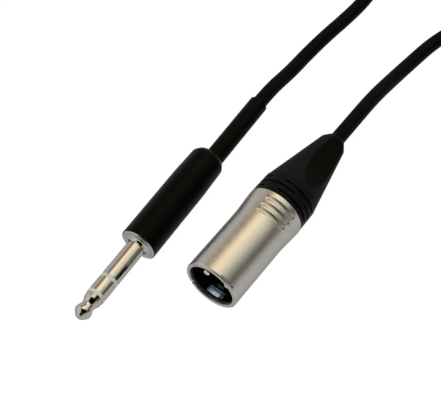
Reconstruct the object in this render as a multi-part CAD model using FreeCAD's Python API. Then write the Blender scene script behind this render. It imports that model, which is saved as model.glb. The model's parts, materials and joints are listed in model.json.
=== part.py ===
import FreeCAD, Part
import math
import os

from FreeCAD import Placement, Rotation, Vector

# Audio lead with a three-pin male plug on one end and a 6.35 mm three-contact plug on the other,
# lying on a flat surface with its spare length in a tied coil. Millimetres.
# The origin is the centre of the three-pin plug's front face. Y runs back along that plug's
# axis and Z is up. Clock angles are seen from the front: 0 is up and 90 is towards +X.

# Clearances, on the radius
slide = 0.05  # rigid pieces that slide or screw together
grip = 0.02  # a piece and what holds it tight

# Cord and its cores
cord_radius = 2.6
core_radius = 0.55
core_offset = 1.1  # of each core from the cord's own axis
lying_gap = 0.05  # under a cord that lies on the floor

# Three-pin plug: nickel shell
shell_tail_length = 10.9  # behind the chuck's ring
shell_radius = 9.5
nose_rounding = 0.6
lip_length = 1.2
lip_bore_radius = 8.15
lip_rounding = 0.3
shell_bore_radius = 8.6
flare_start = 25.3
flare_length = 8.2
tail_radius = 10.1
flare_blend = 40.0
tail_rounding = 0.2
shell_thread_length = 8.9
shell_thread_radius = 8.9

# Grip scoops, three behind each other on two opposite sides of the shell's flare
scoop_clock = 22.0
scoop_half_angle = 35.0  # to the tip of each round end
scoop_depth = 0.32
scoop_section_radius = 1.6
scoop_first_setback = 7.8  # ahead of the shell's rear edge
scoop_pitch = 2.5
scoop_count = 3

# Slit and notch in the shell's front rim
slit_clock = 37.0
slit_half_angle = 17.0
slit_setback = 0.6
slit_width = 0.5
notch_clock = -124.0
notch_width = 1.0
notch_depth = 0.8

# Window through the shell and the insert's liner, where the latch of the socket locks
key_clock = 180.0
latch_window_start = 1.85
latch_window_length = 2.65
latch_window_width = 6.0

# Black insert that holds the pins
mouth_depth = 14.5
liner_bore_radius = 8.0
base_thickness = 4.5
skirt_length = 3.0
skirt_bore_radius = 7.4
key_width = 2.4
key_height = 0.9
key_gap = 0.5  # behind the latch window
key_ramp_length = 0.6

# Contact pins
pin_clocks = {"xlr_pin_1": 90.0, "xlr_pin_2": -90.0, "xlr_pin_3": 0.0}
pin_circle_radius = 3.96
pin_radius = 1.2
pin_setback = 2.8
pin_nose_rounding = 0.9
pin_root_radius = 1.55  # from the base's front face back, solder cup included
pin_collar_radius = 2.0
pin_collar_length = 1.0
pin_collar_setback = 1.5  # behind the base's front face
cup_length = 6.0
cup_bore_radius = 1.1
cup_bore_depth = 5.0
cup_window_length = 2.5

# Earth contact between pin 1 and the shell
earth_thickness = 0.35
earth_half_angle = 12.0
earth_strip_length = 3.5
earth_tab_half_width = 1.6
earth_eye_radius = 2.3

# Chuck that grips the cord when the bushing is screwed in
chuck_ring_length = 2.0
jaw_root_radius = 6.8
jaw_tip_radius = 4.4
jaw_tip_setback = 1.4  # ahead of the shell's rear edge
jaw_grip_length = 3.5
jaw_wall = 0.8
jaw_shoulder_length = 1.0  # ahead of the grip
jaw_slot_width = 1.0
jaw_slot_setback = 1.5

# Threaded bushing with its slotted collar
bushing_clearance = 0.5  # between its front edge and the thread's end
bushing_cone_clearance = 0.1
collar_length = 8.3
collar_front_radius = 10.03
collar_rear_radius = 9.9
collar_slot_setbacks = (1.75, 3.95, 6.1)
collar_slot_width = 0.8
collar_slot_depth = 0.4
collar_slot_clock = 40.0
collar_slot_half_angle = 45.0
collar_slots_in_row = 3
boot_socket_radius = 7.0
boot_socket_depth = 7.7

# Rubber boot with two thumb flats
boot_length = 28.2
boot_front_radius = 9.75
boot_shoulder_length = 1.4
boot_shoulder_radius = 9.5
boot_nose_length = 3.0
boot_nose_radius = 4.8
boot_end_radius = 2.95
boot_spigot_length = 7.0
flat_clock = 34.5
flat_start = (1.0, 9.6)  # back from the boot's front, and out from the axis
flat_middle = (12.8, 5.75)
flat_end = (28.8, 3.9)

# Cord and cores inside the three-pin plug
jacket_setback = 4.9  # of the jacket's cut end, ahead of the shell's rear edge
core_bend_length = 2.0

# 6.35 mm plug, in its own frame: its flange is at 0 and its axis runs back along Y
finger_radius = 3.175
finger_length = 31.9
tip_nose_radius = 1.4
tip_nose_length = 2.0
tip_ball_radius = 2.98
tip_ball_length = 1.6
tip_waist_radius = 1.85
tip_waist_setback = 5.2
tip_waist_length = 0.4
tip_shoulder_setback = 7.6
tip_length = 8.8
tip_insulator_length = 1.2
ring_length = 5.4
ring_insulator_length = 1.1
finger_edge = 0.1
tip_rod_radius = 1.0
tube_wall = 0.45
flange_radius = 6.15
flange_thickness = 1.1
flange_proud = 0.1
flange_fillet = 1.3
body_thread_radius = 5.2
body_thread_length = 8.0

# Solder lugs behind the 6.35 mm plug's body
rear_insulator_length = 1.2
rear_insulator_radius = 3.6
lug_thickness = 0.4
lug_half_width = 1.3
lug_length = 6.5
ring_lug_radius = 3.8
lug_spacer_length = 1.2
lug_spacer_radius = 3.2
tip_lug_radius = 3.0
rivet_radius = 1.5
rivet_length = 0.6
solder_hole_radius = 0.5

# Cord clamp of the 6.35 mm plug, a tongue with claws round the cord
clamp_thickness = 0.5
clamp_half_width = 1.6
clamp_length = 18.0
claw_length = 5.0
claw_half_angle = 140.0

# Barrel, its liner and the shrunk sleeve that leaves it
barrel_length = 41.4
barrel_radius = 6.4
barrel_front_rounding = 0.2
barrel_taper_start = 29.0
barrel_tail_radius = 6.05
barrel_tail_length = 1.6
barrel_end_radius = 5.05
barrel_bore_radius = 5.6
barrel_hole_radius = 4.65
barrel_hole_depth = 3.4
liner_wall = 0.45
sleeve_radius = 3.35
sleeve_start = 30.0
sleeve_end = 71.6
sleeve_rounding = 0.3
sleeve_offset_x = 0.8  # the sleeve leaves the barrel's hole low and to one side
sleeve_offset_z = -0.9
small_plug_jacket_start = 20.0

# Where the 6.35 mm plug lies beside the three-pin plug
small_plug_x = -28.95
small_plug_y = 0.17
small_plug_turn = 3.4

# Coil of the spare cord: its strands fill cells a cord's diameter apart
coil_x = -5.0
coil_y = 198.0
coil_mid_radius = 27.0
coil_entry_angle = -30.0
coil_exit_angle = 188.0
coil_lead_length = 20.0
coil_edge = 2.4
tie_half_angle = 9.0
tie_thickness = 0.7
tie_clearance = 0.1

# The cord's route from the three-pin plug's boot to the coil, and from the 6.35 mm plug's sleeve
# to the coil: x, y, and the height above a cord that lies on the floor. The first point of each
# is the plug's own end, and the last is the coil's lead.
route_from_boot = [
    (0.0, 80.5, 7.45),
    (-0.9, 97.0, 4.9),
    (-0.9, 112.0, 1.5),
    (-0.2, 124.0, 0.0),
    (1.2, 136.0, 0.0),
    (4.2, 147.0, 0.0),
    (7.89, 155.92, 0.0),
]
route_from_sleeve = [
    (-32.87, 79.7, 2.85),
    (-32.95, 93.0, 0.35),
    (-33.1, 103.0, 0.0),
    (-32.6, 115.0, 0.0),
    (-31.4, 127.5, 0.0),
    (-30.8, 139.0, 0.0),
    (-31.3, 150.0, 1.3),
    (-32.44, 161.83, 5.2),
]

# Places that follow from the sizes
floor = -tail_radius
lying = floor + cord_radius + lying_gap
cord_diameter = 2 * cord_radius
insert_front = lip_length + slide
insert_radius = shell_bore_radius - slide
latch_window_end = latch_window_start + latch_window_length
key_front = latch_window_end + key_gap
base_end = mouth_depth + base_thickness
skirt_end = base_end + skirt_length
cup_end = base_end + cup_length
chuck_ring_end = skirt_end + chuck_ring_length
shell_length = chuck_ring_end + shell_tail_length
shell_thread_start = shell_length - shell_thread_length
jaw_tip = shell_length - jaw_tip_setback
jaw_grip_start = jaw_tip - jaw_grip_length
bushing_front = shell_thread_start + bushing_clearance
collar_front = shell_length + slide
collar_rear = collar_front + collar_length
boot_front = collar_rear
boot_end = boot_front + boot_length
jacket_start = shell_length - jacket_setback
tip_rear = tip_length - finger_length
ring_front = tip_rear + tip_insulator_length
ring_rear = ring_front + ring_length
sleeve_contact_front = ring_rear + ring_insulator_length
flange_front = -flange_proud
flange_rear = flange_front + flange_thickness
body_rear = flange_rear + body_thread_length
tip_tube_bore = tip_rod_radius + slide
tip_tube_radius = tip_tube_bore + tube_wall
ring_tube_bore = tip_tube_radius + slide
ring_tube_radius = ring_tube_bore + tube_wall
outer_tube_bore = ring_tube_radius + slide
outer_tube_radius = outer_tube_bore + tube_wall
body_bore = outer_tube_radius + slide
ring_lug_front = body_rear + rear_insulator_length
ring_lug_rear = ring_lug_front + lug_thickness
tip_lug_front = ring_lug_rear + lug_spacer_length
tip_lug_rear = tip_lug_front + lug_thickness
coil_outer_radius = coil_mid_radius + 1.5 * cord_diameter
coil_inner_radius = coil_mid_radius - 1.5 * cord_diameter
coil_outer_strand = coil_mid_radius + cord_diameter
origin = Vector(0, 0, 0)
along_y = Vector(0, 1, 0)
reach_limit = 0.48  # the most of a straight run that a corner's rounding takes up
tiny = 0.000001


def rounded(corners, closed):
    """Edges of an outline of (point, radius) corners: straight runs, with an arc tangent to both
    runs at each corner that has a radius. The arc is smaller where a run is too short for it."""
    turns = []
    for index, (point, radius) in enumerate(corners):
        inner = closed or 0 < index < len(corners) - 1
        if radius == 0 or not inner:
            turns.append((point, None, point))
            continue
        back = corners[index - 1][0] - point
        ahead = corners[(index + 1) % len(corners)][0] - point
        half_turn = (math.pi - back.getAngle(ahead)) / 2
        reach = min(radius * math.tan(half_turn), reach_limit * min(back.Length, ahead.Length))
        arc_radius = reach / math.tan(half_turn)
        back.normalize()
        ahead.normalize()
        inward = (back + ahead).normalize()
        middle = point + inward * (arc_radius / math.cos(half_turn) - arc_radius)
        turns.append((point + back * reach, middle, point + ahead * reach))
    edges = []
    for index, (entry, middle, leave) in enumerate(turns):
        if middle is not None:
            edges.append(Part.Arc(entry, middle, leave).toShape())
        if closed or index < len(turns) - 1:
            following = turns[(index + 1) % len(turns)][0]
            if leave.distanceToPoint(following) > tiny:
                edges.append(Part.LineSegment(leave, following).toShape())
    return edges


def turned(corners, clock=0.0, half_angle=180.0):
    """Solid turned about the Y axis from an outline of (y, radius) or (y, radius, rounding)
    corners: all the way round, or half_angle to each side of the clock angle."""
    outline = []
    for y, radius, *rounding in corners:
        outline.append((Vector(0, y, radius), rounding[0] if rounding else 0))
    face = Part.Face(Part.Wire(rounded(outline, closed=True)))
    solid = face.revolve(origin, along_y, 2 * half_angle)
    return about_y(solid, clock - half_angle)


def about_y(shape, clock):
    """The shape turned about the Y axis from the top to a clock angle."""
    return shape.rotated(origin, along_y, clock)


def block(x, y, z):
    """Box between two limits along each axis."""
    return Part.makeBox(x[1] - x[0], y[1] - y[0], z[1] - z[0], Vector(x[0], y[0], z[0]))


def rod(start, end, radius):
    """Round bar from one point to another."""
    return Part.makeCylinder(radius, (end - start).Length, start, end - start)


def rod_along_y(y, radius, x=0.0, z=0.0):
    """Round bar between two limits along Y."""
    return rod(Vector(x, y[0], z), Vector(x, y[1], z), radius)


def arc_radii(points):
    """Radius of the arc at each inner point of a route: 0.45 of the shorter of its two runs,
    divided by the tangent of half the turn."""
    radii = []
    for before, point, after in zip(points, points[1:], points[2:]):
        back = before - point
        ahead = after - point
        half_turn = (math.pi - back.getAngle(ahead)) / 2
        radii.append(0.45 * min(back.Length, ahead.Length) / math.tan(half_turn))
    return radii


def tube(points, radius):
    """Round tube along straight runs joined by tangent arcs, and the length of its centreline."""
    corners = list(zip(points, [0] + arc_radii(points) + [0]))
    path = Part.Wire(rounded(corners, closed=False))
    section = Part.Wire(Part.makeCircle(radius, points[0], points[1] - points[0]))
    return path.makePipeShell([section], True, False), path.Length


def shell_radius_at(y):
    """Outside radius of the shell on its flare."""
    return shell_radius + (tail_radius - shell_radius) * (y - flare_start) / flare_length


def latch_window():
    """What the latch window takes out of the shell and the liner."""
    window = block((-latch_window_width / 2, latch_window_width / 2),
                   (latch_window_start, latch_window_end),
                   (liner_bore_radius - key_height, shell_radius + 1))
    return about_y(window, key_clock)


def scoop_cutters(y, clock):
    """What a scoop takes out: a round bar bent about the axis, with a ball on each end."""
    middle = shell_radius_at(y) - scoop_depth + scoop_section_radius
    half_width = math.sqrt(scoop_section_radius ** 2 - (scoop_section_radius - scoop_depth) ** 2)
    half_angle = scoop_half_angle - math.degrees(half_width / shell_radius_at(y))
    section = Part.makeCircle(scoop_section_radius, Vector(0, y, middle), Vector(1, 0, 0))
    bar = Part.Face(Part.Wire(section)).revolve(origin, along_y, 2 * half_angle)
    ball = Part.makeSphere(scoop_section_radius, Vector(0, y, middle))
    return [about_y(bar, clock - half_angle), about_y(ball, clock - half_angle),
            about_y(ball, clock + half_angle)]


def xlr_shell():
    """Nickel tube with an inward lip, a latch window, a flared and scooped tail and a thread
    bore."""
    shell = turned([
        (0, lip_bore_radius, lip_rounding),
        (0, shell_radius, nose_rounding),
        (flare_start, shell_radius, flare_blend),
        (flare_start + flare_length, tail_radius, flare_blend),
        (shell_length, tail_radius, tail_rounding),
        (shell_length, shell_thread_radius),
        (shell_thread_start, shell_thread_radius),
        (shell_thread_start, shell_bore_radius),
        (lip_length, shell_bore_radius),
        (lip_length, lip_bore_radius),
    ])
    cutters = []
    for index in range(scoop_count):
        y = shell_length - scoop_first_setback + index * scoop_pitch
        for clock in (scoop_clock, scoop_clock + 180):
            cutters += scoop_cutters(y, clock)
    inside = lip_bore_radius - 1
    outside = shell_radius + 1
    slit = [(slit_setback, inside), (slit_setback, outside),
            (slit_setback + slit_width, outside), (slit_setback + slit_width, inside)]
    cutters.append(turned(slit, slit_clock, slit_half_angle))
    notch = block((-notch_width / 2, notch_width / 2), (-1, notch_depth), (inside, outside))
    cutters.append(about_y(notch, notch_clock))
    cutters.append(latch_window())
    return shell.cut(cutters)


def pin_outline(spare):
    """Outline of a contact pin from its nose to its solder cup, larger all round by spare."""
    collar = mouth_depth + pin_collar_setback
    return [
        (pin_setback, 0),
        (pin_setback, pin_radius + spare, pin_nose_rounding),
        (mouth_depth, pin_radius + spare),
        (mouth_depth, pin_root_radius + spare),
        (collar - spare, pin_root_radius + spare),
        (collar - spare, pin_collar_radius + spare),
        (collar + pin_collar_length + spare, pin_collar_radius + spare),
        (collar + pin_collar_length + spare, pin_root_radius + spare),
        (cup_end, pin_root_radius + spare),
        (cup_end, 0),
    ]


def xlr_pin(clock):
    """Contact pin with a collar that the base holds and a solder cup cut away on its outer side."""
    pin = turned(pin_outline(0))
    bore = rod_along_y((cup_end - cup_bore_depth, cup_end + 1), cup_bore_radius)
    window = block((-pin_collar_radius, pin_collar_radius),
                   (cup_end - cup_window_length, cup_end + 1), (0, pin_collar_radius))
    pin = pin.cut([bore, window])
    return about_y(pin.translated(Vector(0, 0, pin_circle_radius)), clock)


def key_rib():
    """Rib along the mouth, with a ramp at its front, rooted in the liner's wall."""
    root = (liner_bore_radius + insert_radius) / 2
    top = liner_bore_radius - key_height
    rear = mouth_depth + slide
    corners = [(key_front, root), (key_front, liner_bore_radius),
               (key_front + key_ramp_length, top), (rear, top), (rear, root)]
    points = [Vector(-key_width / 2, y, z) for y, z in corners]
    face = Part.Face(Part.makePolygon(points + points[:1]))
    return about_y(face.extrude(Vector(key_width, 0, 0)), key_clock)


def xlr_insert():
    """Black cup that lines the mouth, with the key rib, the base that holds the pins and a skirt."""
    insert = turned([
        (insert_front, liner_bore_radius),
        (insert_front, insert_radius),
        (skirt_end, insert_radius),
        (skirt_end, skirt_bore_radius),
        (base_end, skirt_bore_radius),
        (base_end, 0),
        (mouth_depth, 0),
        (mouth_depth, liner_bore_radius),
    ])
    insert = insert.fuse(key_rib())
    cutters = [latch_window()]
    for clock in pin_clocks.values():
        hole = turned(pin_outline(grip)).translated(Vector(0, 0, pin_circle_radius))
        cutters.append(about_y(hole, clock))
    # Channel for the earth strip, open to the rear
    channel_front = base_end - earth_strip_length - slide
    channel_floor = insert_radius - earth_thickness - slide
    channel = [(channel_front, channel_floor), (channel_front, insert_radius + 1),
               (skirt_end + 1, insert_radius + 1), (skirt_end + 1, channel_floor)]
    earth_clock = pin_clocks["xlr_pin_1"]
    cutters.append(turned(channel, earth_clock, earth_half_angle + 1))
    window_half_width = earth_tab_half_width + slide
    window = block((-window_half_width, window_half_width), (base_end, skirt_end + 1),
                   (skirt_bore_radius - 1, insert_radius + 1))
    cutters.append(about_y(window, earth_clock))
    return insert.cut(cutters)


def xlr_ground_contact():
    """Sprung earth strip against the shell, with a tab whose eye sits on pin 1."""
    outer = shell_bore_radius - grip
    inner = outer - earth_thickness
    tab_rear = base_end + slide + earth_thickness
    strip = turned([(base_end - earth_strip_length, inner), (base_end - earth_strip_length, outer),
                    (tab_rear, outer), (tab_rear, inner)], 0, earth_half_angle)
    tab = block((-earth_tab_half_width, earth_tab_half_width), (base_end + slide, tab_rear),
                (pin_circle_radius, inner + earth_thickness / 2))
    eye = rod_along_y((base_end + slide, tab_rear), earth_eye_radius, z=pin_circle_radius)
    hole = rod_along_y((base_end, tab_rear + 1), pin_root_radius + grip, z=pin_circle_radius)
    return about_y(strip.fuse([tab, eye]).cut(hole), pin_clocks["xlr_pin_1"])


def jaw_radius_at(y):
    """Outside radius of the chuck's jaws, a cone from the chuck's ring to the jaws' tips."""
    share = (y - chuck_ring_end) / (jaw_tip - chuck_ring_end)
    return jaw_root_radius + (jaw_tip_radius - jaw_root_radius) * share


def xlr_chuck():
    """Collet: a ring behind the insert, with four coned jaws that close on the cord."""
    shoulder = jaw_grip_start - jaw_shoulder_length
    chuck = turned([
        (skirt_end, jaw_root_radius - jaw_wall),
        (skirt_end, insert_radius - slide),
        (chuck_ring_end, insert_radius - slide),
        (chuck_ring_end, jaw_root_radius),
        (jaw_tip, jaw_tip_radius),
        (jaw_tip, cord_radius + grip),
        (jaw_grip_start, cord_radius + grip),
        (shoulder, jaw_radius_at(shoulder) - jaw_wall),
        (chuck_ring_end, jaw_root_radius - jaw_wall),
    ])
    slot = block((-jaw_slot_width / 2, jaw_slot_width / 2),
                 (chuck_ring_end + jaw_slot_setback, jaw_tip + 1),
                 (-insert_radius, insert_radius))
    return chuck.cut([about_y(slot, 45), about_y(slot, 135)])


def xlr_bushing():
    """Black bushing: a threaded spigot whose cone closes the jaws, and a collar with rows of
    slots, each row turned half a pitch from the one before it."""
    bore_step = collar_rear - boot_socket_depth
    bushing = turned([
        (bushing_front, jaw_radius_at(bushing_front) + bushing_cone_clearance),
        (bushing_front, shell_thread_radius - slide),
        (collar_front, shell_thread_radius - slide),
        (collar_front, collar_front_radius, tail_rounding),
        (collar_rear, collar_rear_radius, tail_rounding),
        (collar_rear, boot_socket_radius),
        (bore_step, boot_socket_radius),
        (bore_step, jaw_tip_radius + bushing_cone_clearance),
        (jaw_tip, jaw_tip_radius + bushing_cone_clearance),
    ])
    slot_pitch = 360 / collar_slots_in_row
    bottom = collar_rear_radius - collar_slot_depth
    rounding = collar_slot_depth / 2
    slots = []
    for row, setback in enumerate(collar_slot_setbacks):
        front = collar_front + setback - collar_slot_width / 2
        rear = front + collar_slot_width
        slot = [(front, bottom, rounding), (front, tail_radius + 1),
                (rear, tail_radius + 1), (rear, bottom, rounding)]
        for index in range(collar_slots_in_row):
            clock = collar_slot_clock + (index + row / 2) * slot_pitch
            slots.append(turned(slot, clock, collar_slot_half_angle))
    return bushing.cut(slots)


def thumb_flat():
    """What is cut from one side of the boot: all that lies outside a hollow, curved flat."""
    start, middle, end = [Vector(0, boot_front + back, out)
                          for back, out in (flat_start, flat_middle, flat_end)]
    far = 2 * boot_front_radius
    corner_end = Vector(0, end.y, far)
    corner_start = Vector(0, start.y, far)
    edges = [
        Part.Arc(start, middle, end).toShape(),
        Part.LineSegment(end, corner_end).toShape(),
        Part.LineSegment(corner_end, corner_start).toShape(),
        Part.LineSegment(corner_start, start).toShape(),
    ]
    face = Part.Face(Part.Wire(edges)).translated(Vector(-far, 0, 0))
    return face.extrude(Vector(2 * far, 0, 0))


def xlr_boot():
    """Tapered rubber boot on a spigot in the bushing, with a thumb flat on two sides."""
    nose = boot_end - boot_nose_length
    boot = turned([
        (boot_front - boot_spigot_length, cord_radius + grip),
        (boot_front - boot_spigot_length, boot_socket_radius - slide),
        (boot_front, boot_socket_radius - slide),
        (boot_front, boot_front_radius, 0.3),
        (boot_front + boot_shoulder_length, boot_shoulder_radius, 2.0),
        (nose, boot_nose_radius, 1.6),
        (boot_end, boot_end_radius, 0.2),
        (boot_end, cord_radius + grip),
    ])
    flat = thumb_flat()
    return boot.cut([about_y(flat, flat_clock), about_y(flat, flat_clock + 180)])


def xlr_core(clock):
    """One core, from inside its pin's solder cup to the jacket's cut end."""
    bend_end = jacket_start - core_bend_length
    points = [
        Vector(0, cup_end - cup_bore_depth + 0.5, pin_circle_radius),
        Vector(0, cup_end + 0.6, pin_circle_radius),
        Vector(0, bend_end, core_offset),
        Vector(0, jacket_start, core_offset),
    ]
    return about_y(tube(points, core_radius)[0], clock)


def placed(shape):
    """A piece of the 6.35 mm plug, from the plug's own frame to where it lies on the floor."""
    place = Vector(small_plug_x, small_plug_y, floor + barrel_radius)
    turn = Rotation(Vector(0, 0, 1), small_plug_turn)
    moved = shape.copy()
    moved.Placement = Placement(place, turn).multiply(shape.Placement)
    return moved


def trs_tip():
    """Tip contact: ball, waist and shoulder, with the rod that runs through the plug."""
    nose = -finger_length
    ball_front = nose + tip_nose_length
    waist = nose + tip_waist_setback
    return turned([
        (nose, 0),
        (nose, tip_nose_radius, 1.2),
        (ball_front, tip_ball_radius, 2.0),
        (ball_front + tip_ball_length, tip_ball_radius, 2.0),
        (waist, tip_waist_radius, 0.5),
        (waist + tip_waist_length, tip_waist_radius, 0.5),
        (nose + tip_shoulder_setback, finger_radius, 0.15),
        (tip_rear, finger_radius),
        (tip_rear, tip_rod_radius),
        (tip_lug_rear, tip_rod_radius),
        (tip_lug_rear, rivet_radius),
        (tip_lug_rear + rivet_length, rivet_radius, 0.3),
        (tip_lug_rear + rivet_length, 0),
    ])


def collared_tube(front, collar_end, tube_end, bore, radius):
    """Contact or insulator of the finger: a full-size collar with a thin tube behind it."""
    return turned([
        (front, bore),
        (front, finger_radius),
        (collar_end, finger_radius),
        (collar_end, radius),
        (tube_end, radius),
        (tube_end, bore),
    ])


def trs_sleeve():
    """Sleeve contact, in one piece with the flange and the threaded body."""
    return turned([
        (sleeve_contact_front, body_bore),
        (sleeve_contact_front, finger_radius, finger_edge),
        (flange_front, finger_radius, flange_fillet),
        (flange_front, flange_radius, finger_edge),
        (flange_rear, flange_radius),
        (flange_rear, body_thread_radius),
        (body_rear, body_thread_radius),
        (body_rear, body_bore),
    ])


def washer(front, rear, bore, radius):
    """Flat ring."""
    return turned([(front, bore), (front, radius), (rear, radius), (rear, bore)])


def solder_lug(front, radius, bore, clock):
    """Ring with a tongue bent back along the plug, which has a solder hole near its end."""
    rear = front + lug_thickness
    tongue_end = front + lug_length
    ring = washer(front, rear, bore + slide, radius - lug_thickness)
    arm = block((-lug_half_width, lug_half_width), (front, rear), (bore + 2 * slide, radius))
    tongue = block((-lug_half_width, lug_half_width), (front, tongue_end),
                   (radius - lug_thickness, radius))
    hole = rod(Vector(0, tongue_end - lug_half_width, 0),
               Vector(0, tongue_end - lug_half_width, 2 * radius), solder_hole_radius)
    hub = rod_along_y((front - 1, rear + 1), bore + slide)
    return about_y(ring.fuse([arm, tongue]).cut([hole, hub]), clock)


def clamp_floor():
    """Height of the clamp's tongue, whose top meets the claws under the cord."""
    return sleeve_offset_z - cord_radius - grip - clamp_thickness


def trs_cable_clamp():
    """Tongue from the body's rear face, with claws that close round the cord's jacket."""
    rear = body_rear + clamp_length
    top = clamp_floor() + clamp_thickness / 2
    tongue = block((-clamp_half_width, clamp_half_width), (body_rear, rear),
                   (top - clamp_thickness, top))
    inner = cord_radius + grip
    claws = turned([(rear - claw_length, inner), (rear - claw_length, inner + clamp_thickness),
                    (rear, inner + clamp_thickness), (rear, inner)], 180, claw_half_angle)
    claws = claws.translated(Vector(sleeve_offset_x, 0, sleeve_offset_z))
    cord = rod_along_y((body_rear, rear + 1), inner, sleeve_offset_x, sleeve_offset_z)
    return tongue.cut(cord).fuse(claws)


def trs_barrel():
    """Black barrel: a recess for the flange, a thread bore, a plain bore and a rear hole."""
    hole_front = barrel_length - barrel_hole_depth
    thread_end = body_rear + bushing_clearance
    return turned([
        (0, flange_radius + slide),
        (0, barrel_radius, barrel_front_rounding),
        (barrel_taper_start, barrel_radius, 60.0),
        (barrel_length - barrel_tail_length, barrel_tail_radius, 1.6),
        (barrel_length, barrel_end_radius, 0.5),
        (barrel_length, barrel_hole_radius),
        (hole_front, barrel_hole_radius),
        (hole_front, barrel_bore_radius),
        (thread_end, barrel_bore_radius),
        (thread_end, body_thread_radius + slide),
        (flange_rear, body_thread_radius + slide),
        (flange_rear, flange_radius + slide),
    ])


def trs_barrel_liner():
    """Insulating tube inside the barrel."""
    outer = barrel_bore_radius - slide
    start = body_rear + bushing_clearance + slide
    return washer(start, barrel_length - barrel_hole_depth - slide, outer - liner_wall, outer)


def trs_strain_sleeve():
    """Shrunk sleeve round the cord where it leaves the barrel."""
    sleeve = turned([
        (sleeve_start, cord_radius + grip),
        (sleeve_start, sleeve_radius),
        (sleeve_end, sleeve_radius, sleeve_rounding),
        (sleeve_end, cord_radius + grip),
    ])
    return sleeve.translated(Vector(sleeve_offset_x, 0, sleeve_offset_z))


def trs_core(lug_place, start_y, jacket_place):
    """One core, from where it is soldered to the jacket's cut end. Places are x and z."""
    points = [
        Vector(lug_place[0], start_y, lug_place[1]),
        Vector(lug_place[0], small_plug_jacket_start - 2.6, lug_place[1]),
        Vector(jacket_place[0], small_plug_jacket_start - 1.2, jacket_place[1]),
        Vector(jacket_place[0], small_plug_jacket_start, jacket_place[1]),
    ]
    return tube(points, core_radius)[0]


def coil_point(radius, angle, height):
    """Point round the coil's centre, at a height above the floor."""
    turn = math.radians(angle)
    return Vector(coil_x + radius * math.cos(turn), coil_y + radius * math.sin(turn), floor + height)


def coil_lead(angle, height, way):
    """Straight lead on the tangent of the coil's outer strand: its outer end and its inner end.
    way is -1 where the cord comes in and 1 where it goes out."""
    inner = coil_point(coil_outer_strand, angle, height)
    turn = math.radians(angle)
    tangent = Vector(-math.sin(turn), math.cos(turn), 0)
    return inner + tangent * (way * coil_lead_length), inner


def coil_outline(spare, bottom):
    """Section of the coil's ring as (height, radius, rounding) corners: three strands wide and
    three high, with the upper outer strand left out, larger all round by spare."""
    edge = coil_edge + spare
    top = 3 * cord_diameter + lying_gap + spare
    step = 2 * cord_diameter + lying_gap + spare
    return [
        (bottom, coil_inner_radius - spare, edge),
        (top, coil_inner_radius - spare, edge),
        (top, coil_mid_radius + cord_radius, edge),
        (step, coil_outer_radius + spare, edge),
        (bottom, coil_outer_radius + spare, edge),
    ]


def on_floor(shape):
    """A shape turned about the Y axis, stood upright on the floor at the coil's centre."""
    upright = shape.rotated(origin, Vector(1, 0, 0), 90)
    return upright.translated(Vector(coil_x, coil_y, floor))


def coil_tie():
    """Strap round the coil's section, on the side away from the plugs."""
    outside = turned(coil_outline(tie_clearance + tie_thickness, 0), 180, tie_half_angle)
    inside = turned(coil_outline(tie_clearance, tie_thickness), 180, tie_half_angle + 1)
    return on_floor(outside.cut(inside))


def cord_coil(leads):
    """Outer shape of the coiled cord, with the straight leads of its outer strand."""
    ring = on_floor(turned(coil_outline(0, 0)))
    stubs = [rod(outer, inner, cord_radius) for outer, inner in leads]
    return ring.fuse(stubs).cut(coil_tie()).removeSplitter()


def route(start, points, end):
    """The cord's route as points in space, from a plug's end to the coil's lead."""
    return [start] + [Vector(x, y, lying + height) for x, y, height in points] + [end]


lead_in = coil_lead(coil_entry_angle, cord_radius + lying_gap, -1)
lead_out = coil_lead(coil_exit_angle, cord_radius + lying_gap + cord_diameter, 1)
boot_exit = Vector(0, boot_end, 0)
sleeve_exit = placed(Part.Vertex(sleeve_offset_x, sleeve_end, sleeve_offset_z)).Point
run_from_boot = route(boot_exit, route_from_boot, lead_in[0])
run_from_sleeve = route(sleeve_exit, route_from_sleeve, lead_out[0])

nodes = {
    "xlr_shell": xlr_shell(),
    "xlr_insert": xlr_insert(),
    "xlr_ground_contact": xlr_ground_contact(),
    "xlr_chuck": xlr_chuck(),
    "xlr_bushing": xlr_bushing(),
    "xlr_boot": xlr_boot(),
    "xlr_cable_end": rod_along_y((jacket_start, boot_end), cord_radius),
    "xlr_shield_tail": xlr_core(pin_clocks["xlr_pin_1"]),
    "xlr_hot_core": xlr_core(pin_clocks["xlr_pin_2"]),
    "xlr_cold_core": xlr_core(pin_clocks["xlr_pin_3"]),
    "cord_coil": cord_coil([lead_in, lead_out]),
    "coil_tie": coil_tie(),
}
for name, clock in pin_clocks.items():
    nodes[name] = xlr_pin(clock)

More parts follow.
